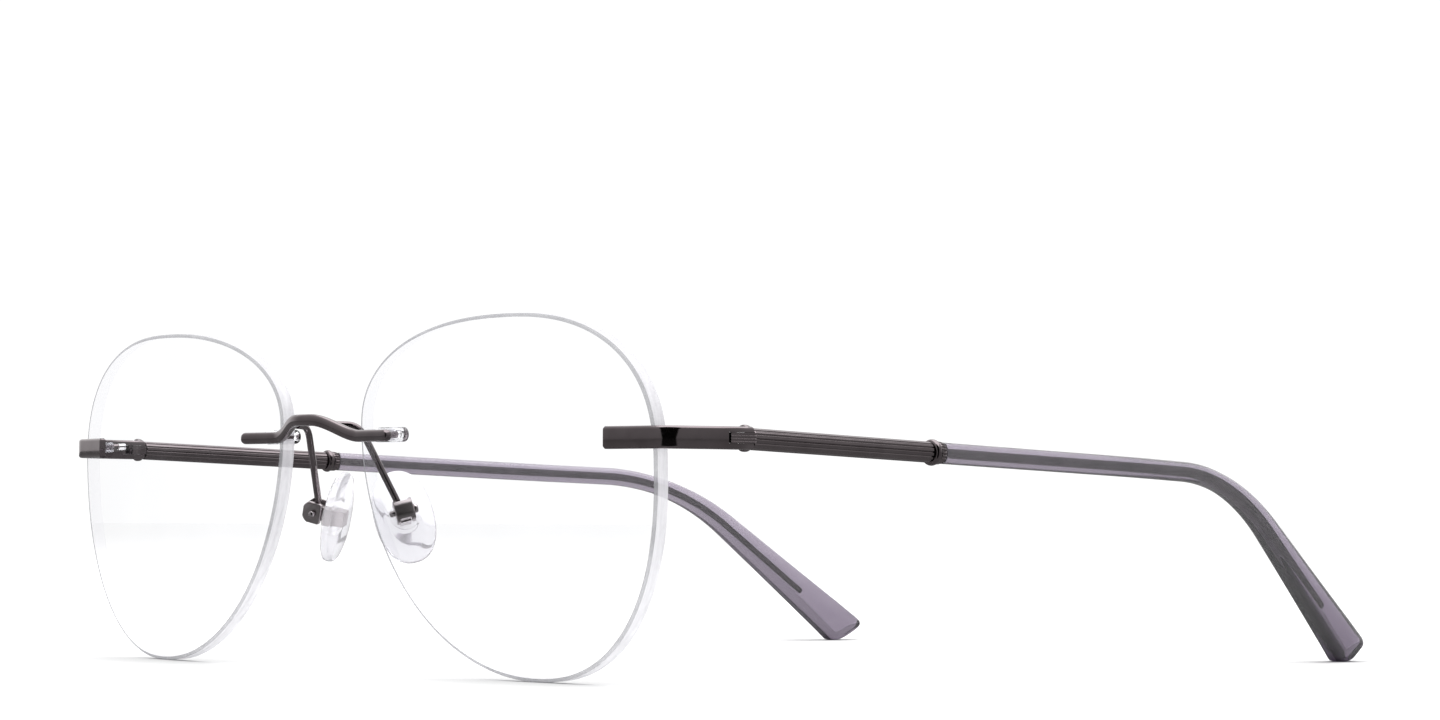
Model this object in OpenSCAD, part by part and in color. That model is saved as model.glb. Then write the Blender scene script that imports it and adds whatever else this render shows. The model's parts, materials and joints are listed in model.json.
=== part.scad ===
// Rimless eyeglasses: two drilled lenses, a metal bridge with pad arms and
// screw-on nose pads, compression bushings, metal endpieces with a fork and
// tongue hinge, fluted temple sleeves and translucent tips over a core wire.
// The glasses stand on the lens bottoms and the temple tips. +Z is up, the
// front faces -Y, +X is the wearer's left. All lengths are in millimetres.

/* [Lenses] */
// width of one lens
lens_width = 56; // [54:0.5:58]
// height of one lens
lens_height = 45.4; // [43:0.2:47]
// distance between the two lenses
lens_gap = 18; // [17:0.5:20]
// lens thickness
lens_thick = 2.0; // [1.6:0.1:2.4]
// radius of the lens front surface
lens_radius = 240; // [200:10:300]
// how far each lens is turned back at its outer edge, in degrees
lens_wrap = 3.5; // [2.5:0.1:4.5]
// how far the lens tops lean forward, in degrees
lens_lean = 3.05; // [2:0.1:4]

/* [Bridge] */
// height of the bar on the lens fronts above the floor
bridge_level = 30.57; // [30:0.1:31.2]
// rise of the arch over the ends of the bar
bridge_rise = 2.16; // [1.4:0.1:2.8]
// how far the arch stands in front of the ends of the bar
bridge_bow = 2.1; // [1.4:0.1:2.4]
// height of the bar itself
bridge_bar = 1.56; // [1.3:0.02:1.8]

/* [Nose pads] */
// length of a nose pad
pad_length = 12.6; // [11:0.2:14]
// width of a nose pad
pad_width = 7.8; // [6.6:0.2:8.2]
// thickness of a nose pad
pad_thick = 2.8; // [2.4:0.1:3.2]

/* [Temples] */
// height of the endpiece plate
end_height = 2.75; // [2.4:0.05:3]
// height of the fluted sleeve
sleeve_height = 2.68; // [2.4:0.02:2.9]
// width of the fluted sleeve
sleeve_width = 2.36; // [2.2:0.02:2.6]
// number of flutes around the sleeve
flutes = 14; // [10:1:18]
// length from the hinge line to the end of the tip
temple_length = 137.7; // [135:0.5:142]
// height of the tip on its straight run
tip_height = 2.72; // [2.5:0.02:2.9]
// largest height of the paddle end
paddle_height = 6.1; // [5:0.1:6.4]
// thickness of the paddle end
paddle_thick = 3.5; // [2.8:0.1:3.8]
// radius of the metal core inside the tip
core_radius = 0.46; // [0.4:0.02:0.56]

/* [View] */
// which node to draw

/* [Hidden] */

gap = 0.02;            // clearance between pieces that only touch
turn_gap = 0.03;       // radial clearance of the turning fits
seat_gap = 0.04;       // growth of the lens outline where metal is cut back
gunmetal = [0.36, 0.33, 0.34];
clear = [0.9, 0.91, 0.94, 0.35];
lilac = [0.72, 0.7, 0.77, 0.6];

// ---- shared maths
function unit(v) = v / norm(v);
function clamp(t) = max(0, min(1, t));
// falls smoothly from 1 at t = 0 to 0 at t = 1
function fade(t) = 0.5 + 0.5 * cos(180 * clamp(t));
// superellipse coordinate for a sine or cosine
function super(value, power) = sign(value) * pow(abs(value), 2 / power);
// points that round a corner, from lead_in before it to lead_out after it
function rounded(from, corner, to, lead_in, lead_out, steps) =
    let (start = corner + lead_in * unit(from - corner),
         end = corner + lead_out * unit(to - corner))
    [for (i = [0:steps])
        let (t = i / steps)
        (1 - t) * (1 - t) * start + 2 * t * (1 - t) * corner + t * t * end];

// ---- lens outline: four superelliptic quarters between the extreme points
// u runs from the nasal edge outwards, v runs up from the bottom edge
u_top = 0.534 * lens_width;
u_bottom = 0.6 * lens_width;
v_nasal = 0.709 * lens_height;
v_temple = 0.592 * lens_height;
half_width = lens_width / 2;
half_height = lens_height / 2;
quarter_steps = 18;
// centre u, centre v, reach in u, reach in v, superellipse power
lens_quarters = [
    [u_top, v_temple, lens_width - u_top, lens_height - v_temple, 2.4],
    [u_top, v_nasal, u_top, lens_height - v_nasal, 2.2],
    [u_bottom, v_nasal, u_bottom, v_nasal, 1.97],
    [u_bottom, v_temple, lens_width - u_bottom, v_temple, 2.3]];
// outline about the lens centre, grown by grow at the extremes
function outline(grow = 0) = [
    for (k = [0:3], i = [0:quarter_steps - 1])
        let (q = lens_quarters[k],
             angle = 90 * k + 90 * i / quarter_steps,
             u = q[0] + q[2] * super(cos(angle), q[4]),
             v = q[1] + q[3] * super(sin(angle), q[4]))
        [(u - half_width) * (1 + 2 * grow / lens_width),
         (v - half_height) * (1 + 2 * grow / lens_height)]];

// ---- lens frame: u and v about the lens centre, w forwards from the pole
// of the lens front
function turned(u, v, w) =
    let (y = -v * sin(lens_lean) - w * cos(lens_lean),
         z = v * cos(lens_lean) - w * sin(lens_lean))
    [u * cos(lens_wrap) - y * sin(lens_wrap), u * sin(lens_wrap) + y * cos(lens_wrap), z];
function sag(u, v) = sqrt(lens_radius * lens_radius - u * u - v * v) - lens_radius;
function turned_front(u, v) = turned(u, v, sag(u, v));
nasal = turned_front(-half_width, v_nasal - half_height);
lens_x = lens_gap / 2 - nasal[0];
lens_y = -nasal[1];
lens_z = -min([for (p = outline()) turned_front(p[0], p[1])[2]]);

module lens_frame()
    translate([lens_x, lens_y, lens_z])
        rotate([0, 0, lens_wrap]) rotate([90 + lens_lean, 0, 0]) children();

// ball whose surface lies ahead in front of the lens front
module ball(ahead)
    translate([0, 0, -lens_radius]) sphere(r = lens_radius + ahead, $fn = 180);

// layer between two such balls
module layer(front, back)
    difference() {
        ball(front);
        ball(back);
    }

// reach in w of the prisms and cylinders that are trimmed by balls
reach_low = -9;
reach_length = 13;

module lens_prism(grow = 0)
    translate([0, 0, reach_low])
        linear_extrude(height = reach_length) polygon(outline(grow));

module post(u, v, radius)
    translate([u, v, reach_low]) cylinder(h = reach_length, r = radius, $fn = 40);

module posts(us, v, radius)
    for (u = us) post(u, v, radius);

// ---- mounting points, in lens coordinates
end_z = 29.8;          // height of the endpieces and the hinges
bridge_v = bridge_level - lens_z;
end_v = end_z - lens_z;
bridge_pins = [-half_width + 0.75, -half_width + 5.6];
end_pins = [half_width - 0.55, half_width - 5.1];
barrel_r = 0.72;
pin_r = 0.42;

// metal pins that pass through the bushing
module mount_pins(us, v)
    lens_frame() intersection() {
        posts(us, v, pin_r);
        layer(0.5, -lens_thick - 1.0);
    }

module lens_body()
    lens_frame() difference() {
        intersection() {
            lens_prism();
            ball(0);
        }
        ball(-lens_thick);
        posts(bridge_pins, bridge_v, barrel_r + gap);
        posts(end_pins, end_v, barrel_r + gap);
    }

// double-barrel bushing: two barrels in the lens and a head behind it that
// reaches further towards the middle of the lens than towards its rim
head_r = 0.95;
module bushing(us, v) {
    low = min(us) - (us[0] > 0 ? head_r : 0);
    high = max(us) + (us[0] > 0 ? 0 : head_r);
    lens_frame() difference() {
        union() {
            intersection() {
                posts(us, v, barrel_r);
                layer(-gap, -lens_thick - 0.4);
            }
            intersection() {
                union() {
                    translate([low, v - head_r, reach_low])
                        cube([high - low, 2 * head_r, reach_length]);
                    post(low, v, head_r);
                    post(high, v, head_r);
                }
                layer(-lens_thick - gap, -lens_thick - 0.85);
            }
        }
        posts(us, v, pin_r + gap);
    }
}

// ---- bridge: arch in the front view crossed with a bow in the top view
arch_in = 1.5;         // half width of the level top of the arch
arch_run = 8.3;        // width over which each side of the arch falls
bar_end = lens_gap / 2 + 7.8;
bar_r = bridge_bar / 2;
bar_round_x = bar_end - bar_r;
bar_front_y = -1.28;   // front and back of the bar, without wing and bow
bar_back_y = 0.12;
wing_slope = -0.0536;
bar_steps = 30;
function arch(x) = bridge_level + bridge_rise * fade((abs(x) - arch_in) / arch_run);
function bow(x) = fade(abs(x) / (lens_gap / 2 + 0.8));
function wing(x) = wing_slope * max(0, abs(x) - lens_gap / 2);
function spread(reach) = [for (i = [-bar_steps:bar_steps]) reach * i / bar_steps];
function bar_round(x, first) = [for (angle = [first:-15:first - 150])
    [x + bar_r * cos(angle), bridge_level + bar_r * sin(angle)]];
// x and z of the bar seen from the front
bar_xs = spread(bar_round_x);
bar_front_view = concat(
    [for (x = bar_xs) [x, arch(x) + bar_r]],
    bar_round(bar_round_x, 75),
    [for (x = bar_xs) [-x, arch(x) - bar_r]],
    bar_round(-bar_round_x, -105));
// x and y of the bar seen from above
plan_xs = spread(bar_end + 0.3);
bar_top_view = concat(
    [for (x = plan_xs) [x, wing(x) + bar_front_y - bridge_bow * bow(x)]],
    [for (x = plan_xs) [-x, wing(x) + bar_back_y - (bridge_bow + 0.05) * bow(x)]]);

module both_sides() {
    children();
    mirror([1, 0, 0]) children();
}

module bridge_body() {
    difference() {
        intersection() {
            translate([0, 5, 0]) rotate([90, 0, 0])
                linear_extrude(height = 10) polygon(bar_front_view);
            translate([0, 0, 25]) linear_extrude(height = 12) polygon(bar_top_view);
        }
        both_sides() lens_frame() intersection() {
            lens_prism(seat_gap);
            ball(gap);
        }
    }
    both_sides() mount_pins(bridge_pins, bridge_v);
}

// ---- swept solids: rings of points joined into one closed skin
// horizontal direction square to a sweep direction
function sideways(dir) = unit(cross(dir, abs(dir[2]) > 0.98 ? [1, 0, 0] : [0, 0, 1]));
// superelliptic ring of count points around centre
function ring(centre, dir, half_wide, half_high, count, power = 2) =
    let (side = sideways(dir), up = cross(side, dir))
    [for (j = [0:count - 1])
        let (angle = 360 * (j + 0.5) / count)
        centre + side * half_wide * super(cos(angle), power)
            + up * half_high * super(sin(angle), power)];

// faces between two rings whose points start at indices first and second
function band(first, second, count) = [
    for (j = [0:count - 1])
        let (k = (j + 1) % count)
        each [[first + j, second + j, first + k], [first + k, second + j, second + k]]];
// faces along rings stored one after another from index first
function wall(first, rings) =
    let (count = len(rings[0]))
    [for (i = [0:len(rings) - 2])
        each band(first + i * count, first + (i + 1) * count, count)];
function start_face(first, count) = [for (j = [0:count - 1]) first + j];
function end_face(first, count) = [for (j = [count - 1:-1:0]) first + j];
function flipped(faces) = [for (f = faces) [f[0], f[2], f[1]]];

module skin(rings) {
    count = len(rings[0]);
    polyhedron(
        points = [for (r = rings) each r],
        faces = concat(
            [start_face(0, count)],
            wall(0, rings),
            [end_face((len(rings) - 1) * count, count)]),
        convexity = 6);
}

// ---- pad arm: a wire from the back of the bridge to the pad box
arm_r = 0.46;
arm_start = [4.5, bar_back_y - 0.4 * bridge_bow, 32.15];
arm_corner = [5.9, 1.97, 32.05];
arm_end = [9.03, 5.87, 22.25];
arm_bend = rounded(arm_start, arm_corner, arm_end, 1.5, 1.7, 8);
arm_path = concat([arm_start], arm_bend, [(arm_bend[8] + arm_end) / 2, arm_end]);

module pad_arm_body() {
    last = len(arm_path) - 1;
    skin([for (i = [0:last])
        let (dir = unit(arm_path[min(i + 1, last)] - arm_path[max(i - 1, 0)]))
        ring(arm_path[i], dir, arm_r, arm_r, 12)]);
}

// ---- nose pad, its insert, the pad box and the pad screw share one frame:
// x from the pad to its box, y along the screw, z along the pad
pad_at = [7.5, 8.1, 20.1];
pad_tilt = [4.7, -20.7, 0];
pad_turn = 34;
module pad_frame()
    translate(pad_at) rotate(pad_tilt) rotate([0, 0, -pad_turn]) children();

screw_x = 3.25;
screw_r = 0.42;
screw_head = 0.45;
box_width = 2.5;
box_slot = 1.6;
box_height = 2.9;
insert_width = 1.46;
insert_end = 1.6;      // where the neck of the insert starts

// cylinder along y, centred on the origin
module cross_rod(radius, facets, length = 6)
    rotate([90, 0, 0]) translate([0, 0, -length / 2])
        cylinder(h = length, r = radius, $fn = facets);

module pad_screw_body()
    pad_frame() translate([screw_x, 0, 0]) {
        cross_rod(screw_r, 32, 4);
        rotate([90, 0, 0]) translate([0, 0, -box_width / 2 - gap - screw_head])
            cylinder(h = screw_head, r = 0.62, $fn = 32);
    }

module pad_box_body()
    pad_frame() translate([screw_x, 0, 0]) difference() {
        intersection() {
            translate([-1.1, -box_width / 2, -box_height / 2])
                cube([2.6, box_width, box_height]);
            cross_rod(1.65, 48);
        }
        // slot, open towards the pad
        translate([-3, -box_slot / 2, -3]) cube([4.15, box_slot, 6]);
        cross_rod(screw_r + gap, 32);
    }

// block of the insert that sits in the pad; its box side does not grow
module insert_block(grow = 0)
    translate([-0.75 - grow, -insert_width / 2 - grow, -1.05 - grow])
        cube([2.6 + grow, insert_width + 2 * grow, 2.1 + 2 * grow]);

module pad_insert_body()
    pad_frame() difference() {
        union() {
            insert_block();
            // neck and eye around the screw
            translate([insert_end, -insert_width / 2, -0.92])
                cube([screw_x - insert_end, insert_width, 1.84]);
            translate([screw_x, 0, 0]) cross_rod(0.95, 40, insert_width);
        }
        translate([screw_x, 0, 0]) cross_rod(screw_r + turn_gap, 32);
    }

pad_points = 44;
pad_power = 2.25;
pad_box_face_r = 12;   // radius through the face at -x
pad_nose_face_r = 26;  // radius through the face at +x
pad_outline = [for (i = [0:pad_points - 1])
    let (angle = 360 * (i + 0.5) / pad_points)
    [pad_width / 2 * super(cos(angle), pad_power),
     pad_length / 2 * super(sin(angle), pad_power)]];
module nose_pad_body()
    pad_frame() difference() {
        intersection() {
            rotate([90, 0, 90]) translate([0, 0, -4])
                linear_extrude(height = 8) polygon(pad_outline);
            translate([pad_box_face_r - pad_thick * 0.57, 0, 0])
                sphere(r = pad_box_face_r, $fn = 120);
            translate([-pad_nose_face_r + pad_thick * 0.43, 0, 0])
                sphere(r = pad_nose_face_r, $fn = 160);
        }
        insert_block(gap);
    }

// ---- endpiece: a plate on the lens front that bends back into the fork
plate_bottom = end_z - end_height / 2;
plate_top = plate_bottom + end_height;
fork_x = 68.4;         // middle of the fork and start of the temple axis
fork_half = 1.4;
fork_end = 14.65;
fork_slot = 1.33;
fork_chamfer = 0.35;
pivot_x = 67.95;
pivot_y = 12.9;
hinge_r = 0.42;
hinge_head_r = 0.72;
hinge_recess = 0.3;
plate_front = 1.05;    // how far the plate stands in front of the lens
plate_x = lens_x + (half_width - 7.45);
function front_at(x) = turned_front(x - lens_x, end_v)[1] + lens_y;

// corners in x and y along the outer and the inner side of the plate
outer_start = [plate_x, front_at(plate_x) - plate_front];
outer_bend = [67.0, front_at(64.5) - plate_front + 0.43];
outer_turn = [fork_x + fork_half, 11.2];
outer_tip = [fork_x + fork_half, fork_end];
inner_start = [plate_x, front_at(plate_x) + 0.25];
inner_bend = [65.35, front_at(64.8) + 0.35];
inner_turn = [fork_x - fork_half, 10.4];
inner_tip = [fork_x - fork_half, fork_end - fork_chamfer];
end_plan = concat(
    [outer_start],
    rounded(outer_start, outer_bend, outer_turn, 2.4, 2.6, 10),
    rounded(outer_bend, outer_turn, outer_tip, 1.2, 1.2, 5),
    [outer_tip, [fork_x - fork_half + fork_chamfer, fork_end], inner_tip],
    rounded(inner_tip, inner_turn, inner_bend, 1.2, 1.2, 5),
    rounded(inner_turn, inner_bend, inner_start, 1.4, 1.0, 5),
    [inner_start]);

module endpiece_body() {
    difference() {
        union() {
            translate([0, 0, plate_bottom])
                linear_extrude(height = end_height) polygon(end_plan);
            // ring around the end of the fork
            intersection() {
                translate([fork_x, fork_end, end_z]) rotate([90, 0, 0])
                    cylinder(h = 0.8, r = 1.64, $fn = 64);
                translate([0, 0, plate_bottom - 1])
                    linear_extrude(height = end_height + 2) polygon(end_plan);
            }
        }
        lens_frame() intersection() {
            union() {
                lens_prism(seat_gap);
                posts(end_pins, end_v, barrel_r + gap);
            }
            ball(gap);
        }
        translate([fork_x - 4, pivot_y - 2.15, end_z - fork_slot / 2])
            cube([8, 8, fork_slot]);
        translate([pivot_x, pivot_y, end_z - 3])
            cylinder(h = 6, r = hinge_r + gap, $fn = 40);
        translate([pivot_x, pivot_y, plate_top - hinge_recess])
            cylinder(h = 3, r = hinge_head_r + gap, $fn = 40);
    }
    mount_pins(end_pins, end_v);
}

module hinge_screw_body()
    translate([pivot_x, pivot_y, 0]) {
        translate([0, 0, plate_bottom + 0.05])
            cylinder(h = end_height - hinge_recess, r = hinge_r, $fn = 40);
        // slotted head
        difference() {
            translate([0, 0, plate_top - hinge_recess + gap])
                cylinder(h = 0.25, r = hinge_head_r, $fn = 40);
            translate([-1, -0.09, plate_top - 0.15]) cube([2, 0.18, 1]);
        }
    }

// ---- hinge tongue, with a spigot that enters the sleeve
tongue_height = fork_slot - 0.08;
spigot_r = 0.7;
module hinge_tongue_body() {
    translate([pivot_x, pivot_y, end_z - tongue_height / 2]) difference() {
        union() {
            cylinder(h = tongue_height, r = 0.93, $fn = 48);
            translate([0, -1.9, 0]) cube([fork_x + 1.36 - pivot_x, 3.95, tongue_height]);
            translate([-0.8, 0.3, 0]) cube([1.6, 1.75, tongue_height]);
        }
        translate([0, 0, -1]) cylinder(h = 4, r = hinge_r + turn_gap, $fn = 40);
        // flutes on the outer face, in line with those of the sleeve
        for (k = [-1, 0, 1])
            translate([fork_x + 1.42 - pivot_x, 4, tongue_height / 2 + k * 0.36])
                rotate([90, 0, 0]) cylinder(h = 8, r = 0.12, $fn = 16);
    }
    temple_axis(1.78) cylinder(h = 4.1, r = spigot_r, $fn = 40);
}

// ---- temple path: straight, one bend, straight, with an inward sweep;
// s is the length along the path in side view, from the hinge line
hinge_y = 13;
drop = 2.01;           // downward slope before the bend, in degrees
inward = 2.92;         // inward sweep, in degrees
bend_start = 84.9;
bend_r = 38;
bend_slope = 37.85;    // downward slope after the bend, in degrees
bend_length = bend_r * (bend_slope - drop) * PI / 180;
function slope(s) =
    drop + max(0, min(bend_slope - drop, (s - bend_start) / bend_r * 180 / PI));
function past_bend(s) = max(0, s - bend_start - bend_length);
function path_y(s) = hinge_y + cos(drop) * min(s, bend_start)
    + bend_r * (sin(slope(s)) - sin(drop)) + cos(bend_slope) * past_bend(s);
function path_z(s) = end_z - sin(drop) * min(s, bend_start)
    - bend_r * (cos(drop) - cos(slope(s))) - sin(bend_slope) * past_bend(s);
// the bend also turns the tip towards the head, then the tip runs straight
curl_y = 80;
curl_run = 12;
curl_slope = 0.14;
function curl(y) =
    let (part = clamp((y - curl_y) / curl_run))
    curl_slope * (curl_run * part * part / 2 + max(0, y - curl_y - curl_run));
function path(s) =
    let (y = path_y(s))
    [fork_x - tan(inward) * (y - hinge_y) - curl(y), y, path_z(s)];
function along(s) = unit(path(s + 0.05) - path(s - 0.05));

// frame at s on the first straight, with z along the temple
module temple_axis(s)
    translate(path(s))
        rotate([-(90 + atan(tan(drop) * cos(inward))), 0, inward]) children();

// ---- fluted sleeve and the collar behind it
sleeve_start = 2.1;
sleeve_length = 31.2;
core_bore_r = core_radius + 0.04;
flute_cuts = [0, 0.03, 0.09, 0.03];    // depths at the four points of one flute
module sleeve_body()
    temple_axis(sleeve_start) difference() {
        linear_extrude(height = sleeve_length) polygon([for (i = [0:flutes * 4 - 1])
            let (angle = 360 * i / (flutes * 4), cut = flute_cuts[i % 4])
            [(sleeve_width / 2 - cut) * cos(angle), (sleeve_height / 2 - cut) * sin(angle)]]);
        translate([0, 0, -1]) cylinder(h = 5.2, r = spigot_r + gap, $fn = 40);
        translate([0, 0, 23.9]) cylinder(h = 10, r = core_bore_r, $fn = 40);
    }

// radius, distance along the temple
collar_profile = [
    [core_bore_r, 0], [1.3, 0], [1.58, 0.15], [1.67, 0.42], [1.67, 0.62], [1.58, 0.86],
    [1.4, 0.98], [1.46, 1.15], [1.42, 1.85], [1.3, 2.05], [core_bore_r, 2.05]];
notches = 10;
module rear_collar_body()
    temple_axis(sleeve_start + sleeve_length + gap) difference() {
        rotate_extrude($fn = 64) polygon(collar_profile);
        for (k = [0:notches - 1])
            rotate([0, 0, 360 / notches * (k + 0.5)])
                translate([1.58, 0, 1.25]) cylinder(h = 3, r = 0.22, $fn = 16);
    }

// ---- core wire
core_start = 26.2;
core_end = 126;
ring_points = 20;
// places of the rings: few on the straight, one every 2.2 mm from 70 on
function stations(first, last) = concat([first, 50, 66], [for (s = [70:2.2:last]) s]);
function round_rings(places, radius) =
    [for (s = places) ring(path(s), along(s), radius, radius, ring_points)];

module core_wire_body()
    skin(round_rings(concat(stations(core_start, core_end), [core_end]), core_radius));

// ---- temple tip: widens into a paddle, with a blind bore for the core wire
tip_start = 35.45;
tip_half_width = 1.2;  // on the straight run
swell_start = 93.5;
swell_run = temple_length - 94;
end_run = 2.0;         // length of the rounded end
end_start = temple_length - end_run;
end_power = 3;         // rounding of the end in side view
end_side_power = 6;    // rounding of the end in top view
end_skew = 0.4;
function swell(s) = pow(max(0, (s - swell_start) / swell_run), 1.2);
function tip_high(s) = (tip_height + (paddle_height - tip_height) * swell(s)) / 2;
function tip_wide(s) = tip_half_width + (paddle_thick / 2 - tip_half_width) * swell(s);
function tip_power(s) = 2.5 + 2 * swell(s);
function end_scale(s, power) =
    pow(max(0.0000001, 1 - pow(max(0, s - end_start) / end_run, power)), 1 / power);
function skew(s) = end_skew * clamp((s - end_start + 3) / 4);
// the end is rounded in side view and stays thick up to a small edge radius;
// its rings are raised a little and skewed along the temple
function tip_ring(s) =
    let (dir = along(s), up = cross(sideways(dir), dir),
         scale_high = max(0.1, end_scale(s, end_power)),
         scale_wide = max(0.4, end_scale(s, end_side_power)),
         centre = path(s) + up * 0.25 * tip_high(s) * (1 - scale_high))
    [for (p = ring(centre, dir, tip_wide(s) * scale_wide, tip_high(s) * scale_high,
                   ring_points, tip_power(s)))
        p + dir * skew(s) * ((p - path(s)) * up)];
tip_stations = concat(
    stations(tip_start, end_start - 0.5),
    [end_start],
    [for (angle = [15:15:75]) end_start + end_run * sin(angle)],
    [temple_length - 0.02]);
tip_rings = [for (s = tip_stations) tip_ring(s)];
bore_rings = round_rings(
    concat(stations(tip_start, core_end), [core_end, core_end + 0.3]),
    core_radius + 0.03);

// outer skin, inner skin turned inside out, and the annulus that joins them
module temple_tip_body() {
    count = ring_points;
    bore = len(tip_rings) * count;
    polyhedron(
        points = [for (r = concat(tip_rings, bore_rings)) each r],
        faces = concat(
            wall(0, tip_rings),
            [end_face(bore - count, count)],
            flipped(wall(bore, bore_rings)),
            [start_face(bore + (len(bore_rings) - 1) * count, count)],
            flipped(band(0, bore, count))),
        convexity = 8);
}

// ---- where the assembly sits: centred between front and back, on the floor
front_y = bar_front_y - bridge_bow;
back_y = max([for (r = tip_rings, p = r) p[1]]);
mid_y = (front_y + back_y) / 2;
module left() translate([0, -mid_y, 0]) children();
module right() mirror([1, 0, 0]) left() children();

module lens_left() color(clear) left() lens_body();
module lens_right() color(clear) right() lens_body();
module bridge() color(gunmetal) left() bridge_body();
module pad_arm_left() color(gunmetal) left() pad_arm_body();
module pad_arm_right() color(gunmetal) right() pad_arm_body();
module pad_box_left() color(gunmetal) left() pad_box_body();
module pad_box_right() color(gunmetal) right() pad_box_body();
module pad_screw_left() color(gunmetal) left() pad_screw_body();
module pad_screw_right() color(gunmetal) right() pad_screw_body();
module pad_insert_left() color(gunmetal) left() pad_insert_body();
module pad_insert_right() color(gunmetal) right() pad_insert_body();
module nose_pad_left() color(clear) left() nose_pad_body();
module nose_pad_right() color(clear) right() nose_pad_body();
module bridge_bushing_left() color(clear) left() bushing(bridge_pins, bridge_v);
module bridge_bushing_right() color(clear) right() bushing(bridge_pins, bridge_v);
module end_bushing_left() color(clear) left() bushing(end_pins, end_v);
module end_bushing_right() color(clear) right() bushing(end_pins, end_v);
module endpiece_left() color(gunmetal) left() endpiece_body();
module endpiece_right() color(gunmetal) right() endpiece_body();
module hinge_screw_left() color(gunmetal) left() hinge_screw_body();
module hinge_screw_right() color(gunmetal) right() hinge_screw_body();
module hinge_tongue_left() color(gunmetal) left() hinge_tongue_body();
module hinge_tongue_right() color(gunmetal) right() hinge_tongue_body();
module sleeve_left() color(gunmetal) left() sleeve_body();
module sleeve_right() color(gunmetal) right() sleeve_body();
module rear_collar_left() color(gunmetal) left() rear_collar_body();
module rear_collar_right() color(gunmetal) right() rear_collar_body();
module core_wire_left() color(gunmetal) left() core_wire_body();
module core_wire_right() color(gunmetal) right() core_wire_body();
module temple_tip_left() color(lilac) left() temple_tip_body();
module temple_tip_right() color(lilac) right() temple_tip_body();

lens_left();
lens_right();
bridge();
pad_arm_left();
pad_arm_right();
pad_box_left();
pad_box_right();
pad_screw_left();
pad_screw_right();
pad_insert_left();
pad_insert_right();
nose_pad_left();
nose_pad_right();
bridge_bushing_left();
bridge_bushing_right();
end_bushing_left();
end_bushing_right();
endpiece_left();
endpiece_right();
hinge_screw_left();
hinge_screw_right();
hinge_tongue_left();
hinge_tongue_right();
sleeve_left();
sleeve_right();
rear_collar_left();
rear_collar_right();
core_wire_left();
core_wire_right();
temple_tip_left();
temple_tip_right();
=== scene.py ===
"""Rimless spectacles: clear lenses, a metal bar bridge, nose pads and temples with acetate tips.

Shapes are drawn in design millimetres: -y is the front, +z is up and +x is the wearer's
left. x = 0 is the middle of the bridge, y = 0 the front of the lens at its nasal edge and
z = 0 the bottom of the lenses. build() mirrors, shifts along y and scales to metres.
"""
import json
from math import cos, exp, pi, radians, sin, sqrt, tan

import bmesh
import bpy
import numpy as np
from mathutils import Matrix, Vector


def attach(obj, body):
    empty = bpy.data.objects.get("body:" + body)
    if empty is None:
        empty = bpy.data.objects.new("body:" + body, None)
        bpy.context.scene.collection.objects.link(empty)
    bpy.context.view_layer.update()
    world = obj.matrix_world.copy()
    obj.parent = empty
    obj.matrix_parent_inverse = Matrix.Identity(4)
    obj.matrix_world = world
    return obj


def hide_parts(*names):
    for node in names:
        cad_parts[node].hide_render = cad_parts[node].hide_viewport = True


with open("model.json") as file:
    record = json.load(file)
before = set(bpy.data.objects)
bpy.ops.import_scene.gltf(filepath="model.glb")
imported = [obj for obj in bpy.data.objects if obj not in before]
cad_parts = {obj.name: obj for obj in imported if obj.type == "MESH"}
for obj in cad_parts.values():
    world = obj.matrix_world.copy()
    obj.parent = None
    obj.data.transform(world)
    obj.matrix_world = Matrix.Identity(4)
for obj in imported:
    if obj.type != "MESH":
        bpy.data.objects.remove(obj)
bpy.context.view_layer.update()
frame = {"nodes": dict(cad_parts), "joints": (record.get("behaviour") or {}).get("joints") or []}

SIDES = (("left", 1), ("right", -1))  # name, sign of x

# ------------------------------------------------------------------ driving dimensions, mm
# lens: u runs from the nasal to the outer edge, v up
LENS_W, LENS_H = 56.0, 45.4
HALF_W, HALF_H = LENS_W / 2, LENS_H / 2
U_TOP, U_BOTTOM = 0.534 * LENS_W, 0.6 * LENS_W  # u of the highest and lowest points
V_NASAL, V_OUTER = 0.709 * LENS_H, 0.592 * LENS_H  # v of the innermost and outermost points
LENS_R, LENS_T = 240.0, 2.0  # front radius, thickness
WRAP, LEAN = radians(3.5), radians(3.05)  # outer edge back, top edge forward
HALF_GAP = 9.0  # from the middle to the nasal edge of a lens

# mounting pins and the clear bushings round them
BRIDGE_Z, END_Z = 30.57, 29.8
BRIDGE_PINS = (-HALF_W + 0.75, -HALF_W + 5.6)
END_PINS = (HALF_W - 0.55, HALF_W - 5.1)
BARREL_R, PIN_R = 0.72, 0.42
BORE_R = PIN_R + 0.03

# endpiece and hinge
HUB_X = 68.4
PIVOT_X, PIVOT_Y = 67.95, 12.9
END_HALF = 1.375  # half the height of the endpiece
END_LOW = END_Z - END_HALF

# temple path, measured by its length s from the front end
TEMPLE_LEN, TEMPLE_Y = 137.7, 13
DROP, INWARD = radians(2.01), radians(2.92)  # slope down and turn inwards
BEND_S, BEND_R, BEND_A = 84.9, 38.0, radians(37.85)  # start, radius and end slope of the bend
CURL_Y, CURL_LEN, CURL_SLOPE = 80, 12.0, 0.14  # further turn inwards behind CURL_Y
WIRE_R = 0.46  # pad arms and core wires

# nose pad frame and the bracket standing on its local +x side
PAD_AT = np.array([7.5, 8.1, 20.1])
PAD_TURN = np.array(Matrix.Rotation(radians(-20.7), 3, "Y") @ Matrix.Rotation(radians(4.7), 3, "X")
                    @ Matrix.Rotation(radians(-34), 3, "Z"))
BOX_X = 3.25

# heading of the camera, level part
VIEW_X, VIEW_Y = -0.7604, 0.6494

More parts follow.
